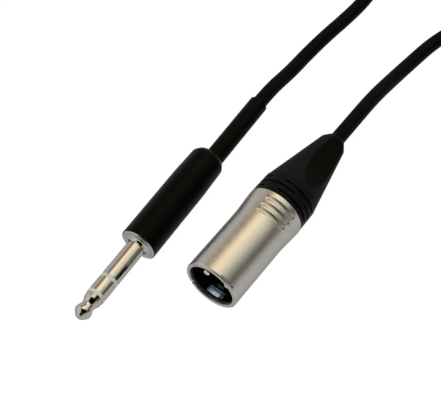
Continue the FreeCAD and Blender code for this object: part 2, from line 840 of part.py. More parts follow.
lug_inside = lug_thickness + core_radius + slide
small_plug = {
    "trs_tip": trs_tip(),
    "trs_tip_insulator": collared_tube(tip_rear, ring_front, ring_lug_rear,
                                       tip_tube_bore, tip_tube_radius),
    "trs_ring": collared_tube(ring_front, ring_rear, ring_lug_rear,
                              ring_tube_bore, ring_tube_radius),
    "trs_ring_insulator": collared_tube(ring_rear, sleeve_contact_front, body_rear,
                                        outer_tube_bore, outer_tube_radius),
    "trs_sleeve": trs_sleeve(),
    "trs_rear_insulator": washer(body_rear, ring_lug_front, ring_tube_radius + slide,
                                 rear_insulator_radius),
    "trs_ring_lug": solder_lug(ring_lug_front, ring_lug_radius, ring_tube_radius, 90),
    "trs_lug_spacer": washer(ring_lug_rear, tip_lug_front, tip_rod_radius + slide,
                             lug_spacer_radius),
    "trs_tip_lug": solder_lug(tip_lug_front, tip_lug_radius, tip_rod_radius, -90),
    "trs_cable_clamp": trs_cable_clamp(),
    "trs_barrel": trs_barrel(),
    "trs_barrel_liner": trs_barrel_liner(),
    "trs_strain_sleeve": trs_strain_sleeve(),
    "trs_cable_end": rod_along_y((small_plug_jacket_start, sleeve_end), cord_radius,
                                 sleeve_offset_x, sleeve_offset_z),
    "trs_cold_core": trs_core((ring_lug_radius - lug_inside, 0), ring_lug_rear + 3,
                              (sleeve_offset_x + core_offset, sleeve_offset_z)),
    "trs_hot_core": trs_core((lug_inside - tip_lug_radius, 0), tip_lug_rear + 2,
                             (sleeve_offset_x - core_offset, sleeve_offset_z)),
    "trs_shield_tail": trs_core((0, clamp_floor() + clamp_thickness / 2 + core_radius + grip),
                                body_rear + 5,
                                (sleeve_offset_x, sleeve_offset_z - core_offset)),
}
for name, shape in small_plug.items():
    nodes[name] = placed(shape)

for name, points in (("cord_run_xlr", run_from_boot), ("cord_run_trs", run_from_sleeve)):
    nodes[name], length = tube(points, cord_radius)
    radii = ", ".join(f"{radius:.0f}" for radius in arc_radii(points))
    expected = math.pi * cord_radius ** 2 * length
    print(f"{name}: {length:.1f} long, arc radii {radii},"
          f" volume {nodes[name].Volume / expected:.4f} of section times length")

os.makedirs("parts", exist_ok=True)
for name, shape in nodes.items():
    if not shape.isValid() or len(shape.Solids) != 1 or shape.Volume <= 0:
        print(f"{name}: valid {shape.isValid()}, solids {len(shape.Solids)}, volume {shape.Volume:.2f}")
    shape.exportStep(f"parts/{name}.step")
print(f"{len(nodes)} nodes")
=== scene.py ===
import json
import math

import bpy
import numpy as np
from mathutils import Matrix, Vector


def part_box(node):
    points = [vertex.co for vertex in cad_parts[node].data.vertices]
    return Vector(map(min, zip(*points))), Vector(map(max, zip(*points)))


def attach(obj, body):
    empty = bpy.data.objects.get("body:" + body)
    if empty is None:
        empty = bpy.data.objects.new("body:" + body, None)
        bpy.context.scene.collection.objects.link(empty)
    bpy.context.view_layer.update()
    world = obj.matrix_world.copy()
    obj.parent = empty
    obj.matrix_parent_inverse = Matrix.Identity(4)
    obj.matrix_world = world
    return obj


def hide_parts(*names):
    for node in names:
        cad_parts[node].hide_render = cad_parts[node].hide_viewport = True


# An audio lead lying on a pale floor: a round three-pin plug, a 6.35 mm plug, and their cord with
# its spare length coiled. The frame is in metres. Lengths below are in millimetres, where no
# comment says metres, and are turned into metres where they are used. Clock angles are seen from
# the front of a plug: 0 is up, 90 is +X.

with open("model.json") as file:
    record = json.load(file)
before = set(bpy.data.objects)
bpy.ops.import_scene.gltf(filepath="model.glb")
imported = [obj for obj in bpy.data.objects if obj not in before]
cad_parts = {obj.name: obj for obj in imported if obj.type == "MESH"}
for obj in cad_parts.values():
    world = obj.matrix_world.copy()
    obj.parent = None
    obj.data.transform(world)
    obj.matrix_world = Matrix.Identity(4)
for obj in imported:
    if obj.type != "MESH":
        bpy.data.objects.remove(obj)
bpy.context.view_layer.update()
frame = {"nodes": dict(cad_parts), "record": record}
nodes = frame["nodes"]
scene = bpy.context.scene

mm = 0.001
floor = -10.1
cord_radius = 2.6
strand_pitch = 2 * cord_radius
lying_gap = 0.05
lying_height = cord_radius + lying_gap
lying = floor + lying_height

# Where the small plug lies: its flange's place on the floor, and its turn in degrees
small_plug_x = -28.95
small_plug_y = 0.17
small_plug_turn = 3.4
barrel_radius = 6.4


# Camera, at the photograph's place

view_azimuth = math.radians(35.40)
view_elevation = math.radians(55.302)
view_roll = math.radians(1.25)
view_distance = 361.77
view_target = np.array([-20.83, 33.58, floor])
sensor_width = 36.0
lens = 87.73


def make_camera():
    """Camera that looks at view_target from view_distance. back points from the target to the
    camera; right and up are turned about it by the roll."""
    a, e, r = view_azimuth, view_elevation, view_roll
    back = np.array([math.sin(a) * math.cos(e), -math.cos(a) * math.cos(e), math.sin(e)])
    level_right = np.array([math.cos(a), math.sin(a), 0.0])
    level_up = np.cross(back, level_right)
    right = math.cos(r) * level_right + math.sin(r) * level_up
    up = math.cos(r) * level_up - math.sin(r) * level_right
    matrix = np.eye(4)
    matrix[:3, :3] = np.column_stack([right, up, back])
    matrix[:3, 3] = (view_target + back * view_distance) * mm
    data = bpy.data.cameras.new("camera")
    data.sensor_fit = "HORIZONTAL"
    data.sensor_width = sensor_width
    data.lens = lens
    data.clip_start = 0.01
    camera = bpy.data.objects.new("camera", data)
    camera.matrix_world = matrix.T.tolist()
    scene.collection.objects.link(camera)
    scene.camera = camera


make_camera()
scene.view_settings.view_transform = "Standard"


# Cord, from the three-pin plug's boot to the coil, round it and back to the small plug's sleeve.
# Route points are x, y and the height above a cord that lies on the floor.

boot_exit = (0.0, 71.45, 0.0)
sleeve_exit = (-32.398, 71.691, -4.6)
route_from_boot = [
    (0.0, 80.5, 7.45),
    (-0.9, 97.0, 4.9),
    (-0.9, 112.0, 1.5),
    (-0.2, 124.0, 0.0),
    (1.2, 136.0, 0.0),
    (4.2, 147.0, 0.0),
    (7.89, 155.92, 0.0),
]
route_from_sleeve = [
    (-32.87, 79.7, 2.85),
    (-32.95, 93.0, 0.35),
    (-33.1, 103.0, 0.0),
    (-32.6, 115.0, 0.0),
    (-31.4, 127.5, 0.0),
    (-30.8, 139.0, 0.0),
    (-31.3, 150.0, 1.3),
    (-32.44, 161.83, 5.2),
]
coil_centre = (-5.0, 198.0)
coil_mid_radius = 27.0
coil_entry = -30.0
coil_sweep = 2738.0
coil_steps = 183
lead_length = 20.0

# Where each turn lies in the coil's section: strands out from the middle, and layer
coil_cells = [(1, 0), (0, 0), (-1, 0), (-1, 1), (-1, 2), (0, 2), (0, 1), (1, 1)]

# Sweep at which the cord eases over to its next cell, sweep from one such place to the next, and
# half the sweep that the easing takes, in degrees
first_crossing = 317.0
crossing_pitch = 350.7
crossing_half_width = 34.0


def coil_place(radius, angle, height):
    """Point round the coil's centre, height above the floor."""
    turn = math.radians(angle)
    return (coil_centre[0] + radius * math.cos(turn),
            coil_centre[1] + radius * math.sin(turn), floor + height)


def coil_cell(sweep):
    """Radius and height of the cord's centre after it has swept an angle: it keeps to one cell of
    the section for a turn, then eases over to the next as 3 t^2 - 2 t^3."""
    column, layer = coil_cells[0]
    for index, (next_column, next_layer) in enumerate(coil_cells[1:]):
        start = first_crossing + index * crossing_pitch - crossing_half_width
        t = min(max((sweep - start) / (2 * crossing_half_width), 0.0), 1.0)
        ease = t * t * (3 - 2 * t)
        column += ease * (next_column - coil_cells[index][0])
        layer += ease * (next_layer - coil_cells[index][1])
    return coil_mid_radius + column * strand_pitch, lying_height + layer * strand_pitch


def lead_points(angle, height, way):
    """Outer and inner point of the straight lead on the coil's tangent at an angle. way is 1 where
    the cord sweeps on toward the outer point, and -1 where it comes from there."""
    radius = coil_mid_radius + strand_pitch
    x, y, z = coil_place(radius, angle, height)
    turn = math.radians(angle)
    half_step = math.radians(coil_sweep / coil_steps / 2)
    points = []
    for reach in (lead_length, radius * math.tan(half_step)):
        points.append((x - way * reach * math.sin(turn), y + way * reach * math.cos(turn), z))
    return points


def cord_points():
    """Control points of the whole cord. A coil point stands out from its turn by 1 / cos of half
    a step, so that the smooth line runs on the turn."""
    points = [boot_exit]
    points += [(x, y, lying + height) for x, y, height in route_from_boot]
    points += lead_points(coil_entry, coil_cell(0)[1], -1)
    step = coil_sweep / coil_steps
    for index in range(coil_steps):
        sweep = (index + 0.5) * step
        radius, height = coil_cell(sweep)
        points.append(coil_place(radius / math.cos(math.radians(step / 2)),
                                 coil_entry + sweep, height))
    points += reversed(lead_points(coil_entry + coil_sweep, coil_cell(coil_sweep)[1], 1))
    points += [(x, y, lying + height) for x, y, height in reversed(route_from_sleeve)]
    points.append(sleeve_exit)
    return points


def make_cord():
    """Round curve along the cord's control points."""
    curve = bpy.data.curves.new("cord", "CURVE")
    curve.dimensions = "3D"
    spline = curve.splines.new("NURBS")
    points = cord_points()
    spline.points.add(len(points) - 1)
    for target, point in zip(spline.points, points):
        target.co = (point[0] * mm, point[1] * mm, point[2] * mm, 1.0)
    spline.order_u = 3
    spline.use_endpoint_u = True
    spline.resolution_u = 6
    curve.bevel_depth = cord_radius * mm
    curve.bevel_resolution = 7
    curve.use_fill_caps = True
    thing = bpy.data.objects.new("cord", curve)
    scene.collection.objects.link(thing)
    return thing


# Meshes

def mesh_object(name, vertices, *faces):
    """Mesh object from vertices in millimetres and arrays of faces, all smooth."""
    mesh = bpy.data.meshes.new(name)
    corners = [face for group in faces for face in group.tolist()]
    mesh.from_pydata((np.asarray(vertices) * mm).tolist(), [], corners)
    mesh.polygons.foreach_set("use_smooth", np.ones(len(mesh.polygons), bool))
    mesh.update()
    thing = bpy.data.objects.new(name, mesh)
    scene.collection.objects.link(thing)
    return thing


def grid_faces(rows, columns, closed=True):
    """Faces of a grid of points whose rows are rings. closed also joins the last row to the
    first."""
    row, column = np.meshgrid(np.arange(rows if closed else rows - 1), np.arange(columns),
                              indexing="ij")
    next_row, next_column = (row + 1) % rows, (column + 1) % columns
    corners = [row * columns + column, next_row * columns + column,
               next_row * columns + next_column, row * columns + next_column]
    return np.stack([corner.ravel() for corner in corners], axis=1)


def pole_faces(ring, pole):
    """Triangles between the points of a ring, in order, and one pole."""
    return np.stack([ring, np.roll(ring, -1), np.full_like(ring, pole)], axis=1)


def rounded_loop(corners, spacing, arc_steps=8):
    """Points round a closed outline of (u, v, rounding) corners, in order. Straight runs are
    divided to the spacing and each rounding is an arc tangent to both of its runs."""
    places = np.array([corner[:2] for corner in corners], float)
    steps = np.arange(arc_steps + 1)[:, None] / arc_steps
    arcs = []
    for index, place in enumerate(places):
        rounding = corners[index][2] if len(corners[index]) > 2 else 0
        back = places[index - 1] - place
        ahead = places[(index + 1) % len(places)] - place
        back_length, ahead_length = np.linalg.norm(back), np.linalg.norm(ahead)
        back, ahead = back / back_length, ahead / ahead_length
        half_turn = (math.pi - math.acos(np.clip(back @ ahead, -1, 1))) / 2
        if rounding == 0 or half_turn < 1e-4:
            arcs.append(place[None])
            continue
        reach = min(rounding * math.tan(half_turn), 0.48 * min(back_length, ahead_length))
        radius = reach / math.tan(half_turn)
        inward = (back + ahead) / np.linalg.norm(back + ahead)
        centre = place + inward * radius / math.cos(half_turn)
        first = place + back * reach - centre
        last = place + ahead * reach - centre
        across = np.array([-first[1], first[0]])
        turn = math.atan2(across @ last, first @ last)
        arcs.append(centre + np.cos(turn * steps) * first + np.sin(turn * steps) * across)
    runs = []
    for arc, following in zip(arcs, arcs[1:] + arcs[:1]):
        gap = following[0] - arc[-1]
        pieces = max(int(np.linalg.norm(gap) / spacing), 1)
        runs += [arc, arc[-1] + gap * np.arange(1, pieces)[:, None] / pieces]
    return np.vstack(runs)


# Tie: how far its middle line stands off the coil's section and the floor, half its thickness, and
# its reach to each side in degrees of the coil
tie_stand_off = 0.45
tie_floor_height = 0.36
tie_half_thickness = 0.34
tie_reach = 8.9
tie_place = 90.0
tie_edge = 2.8


def tie_strap():
    """Strap round the coil's section, three strands wide and three high inside, two outside. Its
    middle line is the section's outline. Across it the strap is a flat oval whose width goes by
    cos a to the power 0.4 and whose thickness goes by sin a to the power 0.7."""
    low = tie_floor_height
    top = 3 * strand_pitch + lying_gap + tie_stand_off
    step = 2 * strand_pitch + lying_gap + tie_stand_off
    inner = coil_mid_radius - 1.5 * strand_pitch - tie_stand_off
    outer = coil_mid_radius + 1.5 * strand_pitch + tie_stand_off
    line = rounded_loop([(inner, low, tie_edge), (inner, top, tie_edge),
                         (coil_mid_radius + cord_radius, top, tie_edge), (outer, step, tie_edge),
                         (outer, low, tie_edge)], spacing=0.4)
    along = np.roll(line, -1, axis=0) - np.roll(line, 1, axis=0)
    along /= np.linalg.norm(along, axis=1)[:, None]
    out = np.stack([-along[:, 1], along[:, 0]], axis=1)
    around = np.linspace(0, 2 * math.pi, 24, endpoint=False)
    flat = np.sign(np.cos(around)) * np.abs(np.cos(around)) ** 0.4
    thick = tie_half_thickness * np.sign(np.sin(around)) * np.abs(np.sin(around)) ** 0.7
    radius = line[:, 0, None] + thick * out[:, 0, None]
    height = line[:, 1, None] + thick * out[:, 1, None]
    angle = math.radians(tie_place) + math.radians(tie_reach) * flat
    vertices = np.stack([coil_centre[0] + radius * np.cos(angle),
                         coil_centre[1] + radius * np.sin(angle),
                         floor + height], axis=-1).reshape(-1, 3)
    return mesh_object("tie_strap", vertices, grid_faces(len(line), len(around))[:, ::-1])


def bell(distance, half_width):
    """1 at no distance, falling to 0 at half_width as (1 - t^2)^2."""
    return np.clip(1 - (distance / half_width) ** 2, 0, 1) ** 2


def on_small_plug(x, y, z):
    """Points of the small plug's own frame, y along its axis from the flange, where it lies."""
    turn = math.radians(small_plug_turn)
    return np.stack([small_plug_x + x * math.cos(turn) - y * math.sin(turn),
                     small_plug_y + x * math.sin(turn) + y * math.cos(turn),
                     floor + barrel_radius + z], axis=-1).reshape(-1, 3)


# Flange's turned face: its radii, how far it stands proud and how deep its back and its edges lie
# in the flange. Beads and teeth are radius, height and half width.
face_inner = 4.55
face_outer = 6.0
face_proud = 0.1
face_lift = 0.01
face_back_depth = 0.2
face_edge_width = 0.02
face_edge_depth = 0.08
outer_bead = (5.76, 0.20, 0.22)
inner_bead = (4.80, 0.14, 0.2)
tooth_row = (5.28, 0.16, 0.32)
tooth_count = 72


def flange_face():
    """Turned face of the small plug's flange: a ring whose height over the flange is a bead near
    each edge, each a bell, and between them teeth, a bell times (1 + cos n a) / 2 by angle a. Its
    edges and its back lie inside the flange."""
    radius = np.linspace(face_inner, face_outer, 36)
    angle = np.linspace(0, 2 * math.pi, tooth_count * 8, endpoint=False)
    share = [1.0, 1.0, (1 + np.cos(tooth_count * angle[:, None])) / 2]
    rows = (outer_bead, inner_bead, tooth_row)
    height = sum(tall * bell(radius - middle, half_width) * part
                 for (middle, tall, half_width), part in zip(rows, share))
    at_edge = (radius < face_inner + face_edge_width) | (radius > face_outer - face_edge_width)
    height += face_lift - face_edge_depth * at_edge
    behind = np.linspace(face_outer, face_inner, 6)[1:-1]
    r = np.broadcast_to(np.concatenate([radius, behind]),
                        (len(angle), len(radius) + len(behind)))
    y = np.hstack([-height, np.full((len(angle), len(behind)), face_back_depth)]) - face_proud
    vertices = on_small_plug(r * np.sin(angle)[:, None], y, r * np.cos(angle)[:, None])
    return mesh_object("flange_face", vertices, grid_faces(len(angle), r.shape[1]))


# Tip contact's outline from nose over ball and waist to shoulder, each corner as its place along
# the small plug's axis, radius and rounding, then the radius of its rod
tip_outline = [
    (-31.55, 0),
    (-31.55, 1.2, 1.0),
    (-29.7, 2.78, 2.2),
    (-28.5, 2.78, 1.4),
    (-27.2, 2.22, 0.9),
    (-26.3, 2.18, 0.9),
    (-24.65, 2.9, 0.5),
    (-22.95, 3.02),
]
tip_rod_radius = 1.0
tip_rod_end_gap = 0.1


def turned_tip():
    """Tip contact with its rod: the outline turned round the small plug's axis, both ends closed
    in one point. The rod ends just short of the solid tip's own end."""
    node_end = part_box("trs_tip")[1][1] / mm
    rear = (node_end - small_plug_y) / math.cos(math.radians(small_plug_turn)) - tip_rod_end_gap
    rod = [(tip_outline[-1][0], tip_rod_radius), (rear, tip_rod_radius), (rear, 0)]
    outline = rounded_loop(tip_outline + rod, spacing=0.2)
    line = outline[outline[:, 1] > 1e-6]
    angle = np.linspace(0, 2 * math.pi, 96, endpoint=False)
    y = np.broadcast_to(line[:, 0, None], (len(line), len(angle)))
    rings = on_small_plug(line[:, 1, None] * np.sin(angle), y, line[:, 1, None] * np.cos(angle))
    poles = on_small_plug(np.zeros(2), line[[0, -1], 0], np.zeros(2))
    ring = np.arange(len(angle))
    last_ring = len(rings) - len(angle) + ring
    return mesh_object("turned_tip", np.vstack([rings, poles]),
                       grid_faces(len(line), len(angle), closed=False)[:, ::-1],
                       pole_faces(ring[::-1], len(rings)),
                       pole_faces(last_ring, len(rings) + 1))


# Material nodes. Sizes and depths of grain are in metres of the object's own coordinates.

white = (1.0, 1.0, 1.0, 1.0)


def feed(tree, value, socket):
    """Links another node's socket to a socket, or sets a plain value on it."""
    if isinstance(value, bpy.types.NodeSocket):
        tree.links.new(value, socket)
    else:
        socket.default_value = value


def arithmetic(tree, operation, first, second=0.0, clamp=False):
    """Result of a named operation on one or two values."""
    node = tree.nodes.new("ShaderNodeMath")
    node.operation = operation
    node.use_clamp = clamp
    feed(tree, first, node.inputs[0])
    feed(tree, second, node.inputs[1])
    return node.outputs[0]


def own_place(tree):
    """Each point's place in the object's own coordinates."""
    return tree.nodes.new("ShaderNodeTexCoord").outputs["Object"]


def split(tree, vector):
    """The X, Y and Z of a vector, by name."""
    node = tree.nodes.new("ShaderNodeSeparateXYZ")
    tree.links.new(vector, node.inputs[0])
    return node.outputs


def grain(tree, size, detail=4.0):
    """Noise whose features are about size across."""
    noise = tree.nodes.new("ShaderNodeTexNoise")
    noise.inputs["Scale"].default_value = 1.0 / size
    noise.inputs["Detail"].default_value = detail
    tree.links.new(own_place(tree), noise.inputs["Vector"])
    return noise.outputs["Fac"]


def spread(tree, value, low, high, start=0.3, end=0.7):
    """A value between start and end, turned into one between low and high."""
    node = tree.nodes.new("ShaderNodeMapRange")
    node.inputs["From Min"].default_value = start
    node.inputs["From Max"].default_value = end
    node.inputs["To Min"].default_value = low
    node.inputs["To Max"].default_value = high
    tree.links.new(value, node.inputs["Value"])
    return node.outputs["Result"]


def ramp(tree, value, stops):
    """Colour that runs between (value, colour) stops, in rising order."""
    node = tree.nodes.new("ShaderNodeValToRGB")
    elements = node.color_ramp.elements
    elements.remove(elements[1])
    elements[0].position = stops[0][0]
    elements[0].color = (*stops[0][1], 1.0)
    for position, colour in stops[1:]:
        elements.new(position).color = (*colour, 1.0)
    tree.links.new(value, node.inputs["Fac"])
    return node.outputs["Color"]


def tint(tree, value, low, high):
    """A value between 0.3 and 0.7, turned into a colour between two."""
    return ramp(tree, value, [(0.3, low), (0.7, high)])


def blend(tree, share, first, second, kind="FLOAT"):
    """First where share is 0 and second where it is 1. Either may be a value or a socket."""
    node = tree.nodes.new("ShaderNodeMix")
    node.data_type = kind
    first_input, second_input, output = {"FLOAT": (2, 3, 0), "RGBA": (6, 7, 2)}[kind]
    tree.links.new(share, node.inputs[0])
    feed(tree, first, node.inputs[first_input])
    feed(tree, second, node.inputs[second_input])
    return node.outputs[output]


def bump(tree, surface, value, depth):
    """Height from a value between 0 and 1, depth metres high, on the shader's normal."""
    node = tree.nodes.new("ShaderNodeBump")
    node.inputs["Strength"].default_value = 1.0
    node.inputs["Distance"].default_value = depth
    tree.links.new(value, node.inputs["Height"])
    tree.links.new(node.outputs["Normal"], surface.inputs["Normal"])


def below_outline(tree, y_limits, radii, depth):
    """1 where the surface lies deeper than depth inside a cone round the Y axis, 0 on the cone.
    The cone's radius runs evenly from the first to the second of radii between the y limits."""
    place = split(tree, own_place(tree))
    flat = tree.nodes.new("ShaderNodeCombineXYZ")
    tree.links.new(place["X"], flat.inputs["X"])
    tree.links.new(place["Z"], flat.inputs["Z"])
    length = tree.nodes.new("ShaderNodeVectorMath")
    length.operation = "LENGTH"
    tree.links.new(flat.outputs[0], length.inputs[0])
    outline = spread(tree, place["Y"], radii[0] * mm, radii[1] * mm,
                     y_limits[0] * mm, y_limits[1] * mm)
    below = arithmetic(tree, "SUBTRACT", outline, length.outputs["Value"])
    return spread(tree, below, 0.0, 1.0, 0.3 * depth * mm, depth * mm)


# Kinds of finish

def new_material(name, colour, roughness, metallic=0.0, specular=0.5):
    """A material, its node tree and its shader, with the values that are the same all over."""
    material = bpy.data.materials.new(name)
    material.use_nodes = True
    tree = material.node_tree
    surface = tree.nodes["Principled BSDF"]
    surface.inputs["Base Color"].default_value = (*colour, 1.0)
    surface.inputs["Roughness"].default_value = roughness
    surface.inputs["Metallic"].default_value = metallic
    surface.inputs["Specular IOR Level"].default_value = specular
    return material, tree, surface


def clouded(tree, surface, cloud, colour, depth, sunk=None, sunk_shade_colour=None):
    """Colour of a surface, paler and darker by a share depth as the cloud goes, with a darker
    colour painted as shade on the faces that below_outline's limits in sunk pick out."""
    paler = [min(part * (1 + depth), 1.0) for part in colour]
    darker = [part * (1 - depth) for part in colour]
    shade = tint(tree, cloud, darker, paler)
    if sunk:
        shade = blend(tree, below_outline(tree, *sunk), shade, (*sunk_shade_colour, 1.0), "RGBA")
    tree.links.new(shade, surface.inputs["Base Color"])


edge_tint = 0.55
moulded_cloud_size = 0.003
moulded_cloud_depth = 0.2
moulded_rough_spread = 0.03


def plated_metal(name, colour, roughness, rough_spread, grain_size, grain_depth,
                 cloud_size=0.004, cloud_depth=0.04, sunk=None, sunk_roughness=None):
    """Metal plate with a fine grain and slightly clouded gloss. sunk gives below_outline's limits
    for the faces whose gloss differs from the rest."""
    material, tree, surface = new_material(name, colour, roughness, metallic=1.0)
    surface.inputs["Specular Tint"].default_value = (edge_tint, edge_tint, edge_tint, 1.0)
    cloud = grain(tree, cloud_size)
    clouded(tree, surface, cloud, colour, cloud_depth)
    gloss = spread(tree, cloud, roughness - rough_spread, roughness + rough_spread)
    if sunk:
        gloss = blend(tree, below_outline(tree, *sunk), gloss, sunk_roughness)
    tree.links.new(gloss, surface.inputs["Roughness"])
    bump(tree, surface, grain(tree, grain_size, 6.0), grain_depth)
    return material


def moulded(name, colour, roughness, specular, grain_size, grain_depth, sunk=None,
            sunk_shade_colour=None):
    """Moulded plastic or rubber with a fine grain. sunk gives below_outline's limits for the
    sunk faces, which get a darker colour as painted shade."""
    material, tree, surface = new_material(name, colour, roughness, specular=specular)
    cloud = grain(tree, moulded_cloud_size)
    clouded(tree, surface, cloud, colour, moulded_cloud_depth, sunk, sunk_shade_colour)
    gloss = spread(tree, cloud, roughness - moulded_rough_spread, roughness + moulded_rough_spread)
    tree.links.new(gloss, surface.inputs["Roughness"])
    bump(tree, surface, grain(tree, grain_size, 5.0), grain_depth)
    return material


threads_per_metre = 500.0
thread_height = 0.0001
thread_paler = 1.8


def woven(name, colour):
    """Strap woven of threads that cross."""
    material, tree, surface = new_material(name, colour, 0.85, specular=0.2)
    place = own_place(tree)
    threads = []
    for direction in ("X", "Z"):
        wave = tree.nodes.new("ShaderNodeTexWave")
        wave.bands_direction = direction
        wave.inputs["Scale"].default_value = threads_per_metre
        tree.links.new(place, wave.inputs["Vector"])
        threads.append(wave.outputs["Fac"])
    both = arithmetic(tree, "MAXIMUM", *threads)
    paler = [part * thread_paler for part in colour]
    tree.links.new(tint(tree, both, colour, paler), surface.inputs["Base Color"])
    bump(tree, surface, both, thread_height)
    return material


# Cones that the shell's flare, the slotted collar and the boot would fill without their scoops,
# slots and thumb flats: y limits, radii there and depth, for below_outline. The collar's slots and
# the boot's thumb flats get a darker colour there as painted shade; the shell's scoops only a
# rougher gloss.
flare = ((25.3, 33.5), (9.5, 10.1), 0.12)
collar_line = ((34.95, 43.25), (10.03, 9.9), 0.2)
boot_line = ((44.65, 68.45), (9.5, 4.8), 0.12)

nickel = (0.39, 0.377, 0.36)
bright_nickel = (0.35, 0.338, 0.322)
contact_plate = (0.62, 0.60, 0.55)
copper = (0.80, 0.42, 0.28)

finishes = {
    "nickel_satin": plated_metal("satin_nickel", nickel, 0.33, 0.03, 0.00012, 0.000004,
                                 cloud_size=0.0012, cloud_depth=0.07, sunk=flare,
                                 sunk_roughness=0.45),
    "nickel_bright": plated_metal("bright_nickel", bright_nickel, 0.10, 0.02, 0.0002, 0.000001),
    "contact_metal": plated_metal("plated_contact", contact_plate, 0.22, 0.04, 0.0002, 0.000001),
    "copper_tail": plated_metal("bare_copper", copper, 0.3, 0.05, 0.0001, 0.00002),
    "insert_black": moulded("black_insert", (0.003, 0.003, 0.003), 0.25, 0.2, 0.0003, 0.000003),
    # The sunk colours below are painted shade in the collar's slots and on the boot's thumb flats.
    "collar_black": moulded("black_collar", (0.0036, 0.0038, 0.0042), 0.5, 0.04, 0.0002, 0.00001,
                            sunk=collar_line, sunk_shade_colour=(0.0004, 0.0004, 0.0004)),
    "boot_rubber": moulded("boot_rubber", (0.0056, 0.0074, 0.0084), 0.6, 0.03, 0.00025, 0.00002,
                           sunk=boot_line, sunk_shade_colour=(0.0014, 0.0017, 0.0011)),
    "barrel_black": moulded("black_barrel", (0.0004, 0.0005, 0.0003), 0.42, 0.035, 0.0003, 0.00001),
    "shrink_black": moulded("shrunk_tube", (0.0010, 0.0012, 0.0010), 0.5, 0.03, 0.0006, 0.00002),
    "cord_black": moulded("cord_jacket", (0.0010, 0.0011, 0.0012), 0.55, 0.03, 0.0004, 0.00002),
    "insulator_pale": moulded("pale_insulator", (0.56, 0.62, 0.58), 0.3, 0.5, 0.0002, 0.000002),
    "liner_clear": moulded("clear_liner", (0.72, 0.72, 0.68), 0.4, 0.5, 0.0003, 0.00001),
    "core_red": moulded("red_core", (0.50, 0.05, 0.04), 0.45, 0.4, 0.0003, 0.00001),
    "core_white": moulded("white_core", (0.75, 0.75, 0.72), 0.45, 0.4, 0.0003, 0.00001),
    "tie_fabric": woven("woven_strap", (0.01, 0.01, 0.011)),
}


def give(thing, finish):
    """Puts one finish on a whole object."""
    thing.data.materials.clear()
    thing.data.materials.append(finishes[finish])


slots = {part["node"]: part["material_slot"] for part in frame["record"]["subparts"]}
for name, node in nodes.items():
    node.data.materials.clear()
    node.data.materials.append(finishes[slots[name]])

cord = make_cord()
give(cord, "cord_black")
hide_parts("cord_run_xlr", "cord_coil", "cord_run_trs")
strap = tie_strap()
give(strap, "tie_fabric")
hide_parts("coil_tie")
face = flange_face()
give(face, "nickel_bright")
tip = turned_tip()
give(tip, "nickel_bright")
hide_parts("trs_tip")
for piece in (cord, strap, face, tip):
    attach(piece, "root")


# Floor, world, studio wall and lamp. The floor and the world are white where the camera, metal and
# clear things see them, and the floor keeps the object's shadow.

floor_half_size = 4000.0
floor_drop = 0.02
floor_colour = (0.9, 0.9, 0.9, 1.0)
floor_glow = 0.93
glow_strength = 1.05
world_light = 0.35

# Painted shade on the floor under the latch window: how far off the shell still shades it, its
# greys by how open it is, and where the shade starts and ends along the plug and to each side
shade_reach = 2.2
shade_stops = [
    (0.58, (0.004, 0.012, 0.016)),
    (0.72, (0.10, 0.21, 0.26)),
    (0.85, (0.50, 0.72, 0.77)),
    (1.0, white[:3]),
]
shade_start = (1.4, 1.9)
shade_end = (7.0, 8.0)
shade_side = (3.5, 3.9)

# Power that deepens the painted shade from left to right, and the places between which it grows
shade_power = (1.0, 30.0)
shade_power_places = (0.8, 2.3)


def seen_directly(tree):
    """1 for rays that see a surface directly, in metal or gloss or through a clear thing, and 0
    for the rest."""
    path = tree.nodes.new("ShaderNodeLightPath").outputs
    reflected = arithmetic(tree, "ADD", path["Is Glossy Ray"], path["Is Camera Ray"])
    return arithmetic(tree, "ADD", reflected, path["Is Transmission Ray"], clamp=True)


def between(tree, value, places, low, high):
    """From low to high as a length goes between two places, in millimetres."""
    return spread(tree, value, low, high, places[0] * mm, places[1] * mm)


def painted_window_shade(tree):
    """Floor's tone: white, and a painted shade of cooler grey in the narrow gap under the shell,
    where the latch window shows it. The grey goes by how open the floor is, to a power that grows
    to the right."""
    gap = tree.nodes.new("ShaderNodeAmbientOcclusion")
    gap.samples = 8
    gap.inputs["Distance"].default_value = shade_reach * mm
    place = split(tree, own_place(tree))
    power = between(tree, place["X"], shade_power_places, *shade_power)
    grey = ramp(tree, arithmetic(tree, "POWER", gap.outputs["AO"], power), shade_stops)
    aside = arithmetic(tree, "ABSOLUTE", place["X"])
    lengthwise = arithmetic(tree, "MULTIPLY", between(tree, place["Y"], shade_start, 0.0, 1.0),
                            between(tree, place["Y"], shade_end, 1.0, 0.0))
    under = arithmetic(tree, "MULTIPLY", lengthwise, between(tree, aside, shade_side, 1.0, 0.0))
    return blend(tree, under, white, grey, "RGBA")


def glowing(tree, colour, strength):
    """Shader that shines with a colour and strength of its own."""
    node = tree.nodes.new("ShaderNodeEmission")
    feed(tree, colour, node.inputs["Color"])
    feed(tree, strength, node.inputs["Strength"])
    return node.outputs[0]


def stage_material(thing, name):
    """Gives a piece of the stage an empty material, and returns its tree and the socket that takes
    its shader."""
    material = bpy.data.materials.new(name)
    material.use_nodes = True
    thing.data.materials.append(material)
    tree = material.node_tree
    tree.nodes.clear()
    return tree, tree.nodes.new("ShaderNodeOutputMaterial").inputs["Surface"]


def make_floor():
    """Pale floor: floor_glow of it shines white, with a painted shade under the latch window, and the
    rest is lit and shaded.
    """
    half, level = floor_half_size, floor - floor_drop
    corners = [(-half, -half, level), (half, -half, level), (half, half, level), (-half, half, level)]
    thing = mesh_object("floor", corners, np.arange(4)[None])
    tree, surface = stage_material(thing, "pale_floor")
    lit = tree.nodes.new("ShaderNodeBsdfDiffuse")
    lit.inputs["Color"].default_value = floor_colour
    mix = tree.nodes.new("ShaderNodeMixShader")
    share = arithmetic(tree, "MULTIPLY", seen_directly(tree), floor_glow)
    tree.links.new(share, mix.inputs[0])
    tree.links.new(lit.outputs[0], mix.inputs[1])
    tree.links.new(glowing(tree, painted_window_shade(tree), glow_strength), mix.inputs[2])
    tree.links.new(mix.outputs[0], surface)


